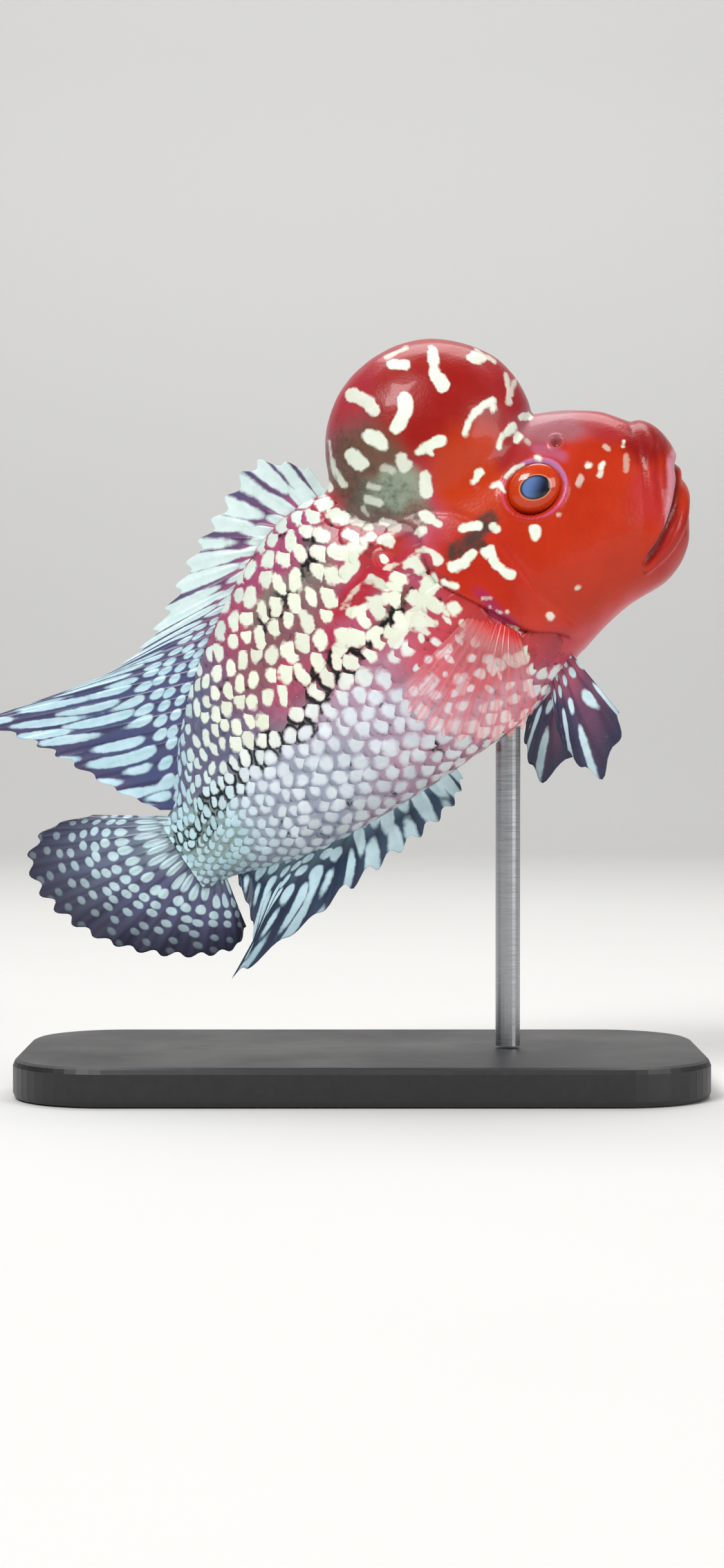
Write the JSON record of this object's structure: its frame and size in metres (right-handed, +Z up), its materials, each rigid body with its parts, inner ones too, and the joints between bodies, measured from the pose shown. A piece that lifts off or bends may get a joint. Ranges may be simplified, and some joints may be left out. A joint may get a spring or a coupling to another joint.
{
  "type": "flowerhorn cichlid model",
  "caption": "Life-size still model of a flowerhorn cichlid with a tall nuchal hump, spread fins and pearl scales, held nose up on a flat stand with one rod.",
  "frame": {"origin": "centre of the stand's underside", "axes": "+Z up, +X towards the fish's snout, -Y out of its right side; the fish is tipped nose up 34 degrees about Y"},
  "size_m": [0.0941, 0.046, 0.097],
  "materials": {
    "face_skin": "wet orange-red skin",
    "hump_skin": "wet deep red skin with pale worm-like pearls",
    "scaled_skin": "wet pearl scales over pink, red and black",
    "eye": "glossy blue-black pupil in an orange iris",
    "fin": "thin grey-violet membrane with pale blue pearls",
    "clear_fin": "clear pinkish membrane",
    "stand_base": "satin black",
    "stand_rod": "brushed"
  },
  "bodies": {
    "root": {"head": "face_skin", "nuchal_hump": "hump_skin", "upper_lip": "face_skin", "lower_jaw": "face_skin", "gill_cover_right": "face_skin", "gill_cover_left": "face_skin", "eye_right": "eye", "eye_left": "eye", "torso": "scaled_skin", "tail_peduncle": "scaled_skin", "dorsal_fin": "fin", "anal_fin": "fin", "caudal_fin": "fin", "pectoral_fin_right": "clear_fin", "pectoral_fin_left": "clear_fin", "pelvic_fin_right": "fin", "pelvic_fin_left": "fin", "stand_base": "stand_base", "stand_rod": "stand_rod"}
  },
  "joints": []
}
